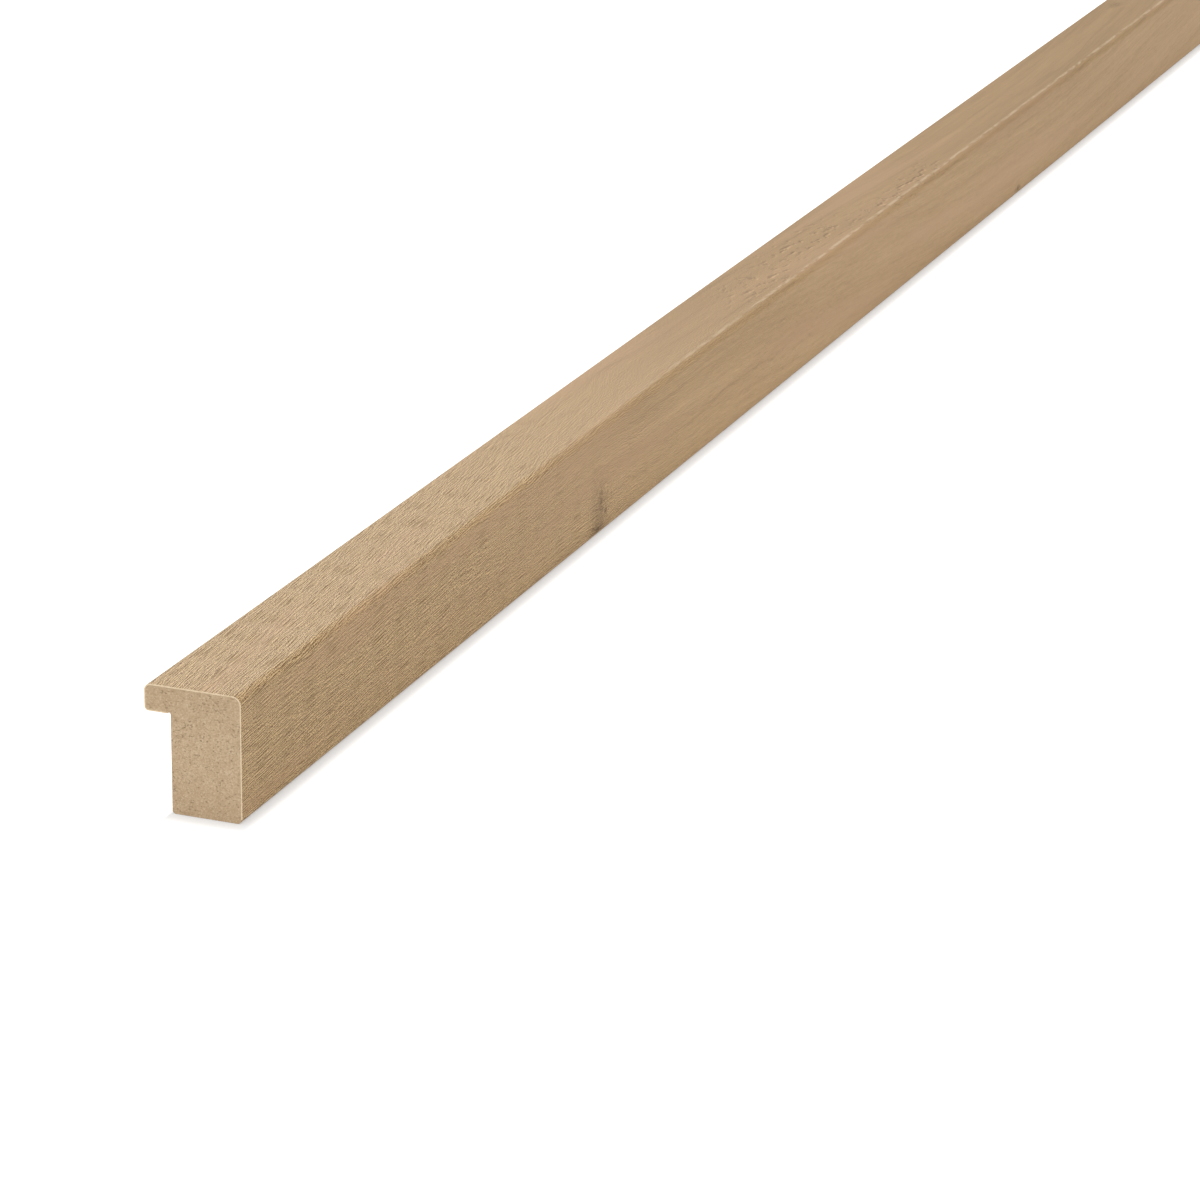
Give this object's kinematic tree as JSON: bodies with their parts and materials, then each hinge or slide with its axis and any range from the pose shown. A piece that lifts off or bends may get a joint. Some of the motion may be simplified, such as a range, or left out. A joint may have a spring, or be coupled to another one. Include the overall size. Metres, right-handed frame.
{
  "type": "wall panel end trim",
  "caption": "L-shaped end trim for slatted wall panels: a fibreboard stick wrapped in oak-print foil, with a rebate under its flange that covers the panel's cut edge.",
  "frame": {"origin": "middle of the stick's length, below the middle of its overall width, on the plane of its back", "axes": "+X along the stick; +Y towards the flange's nose, so the finished side faces -Y; +Z away from the wall, so the back lies on Z = 0"},
  "size_m": [2.4, 0.022, 0.028],
  "materials": {
    "raw_fibreboard": "raw medium-density fibreboard, sawn and milled, matt",
    "oak_print": "printed oak decor foil with embossed pores, satin"
  },
  "bodies": {
    "root": {"mdf_core": "raw_fibreboard", "oak_foil": "oak_print"}
  },
  "joints": []
}
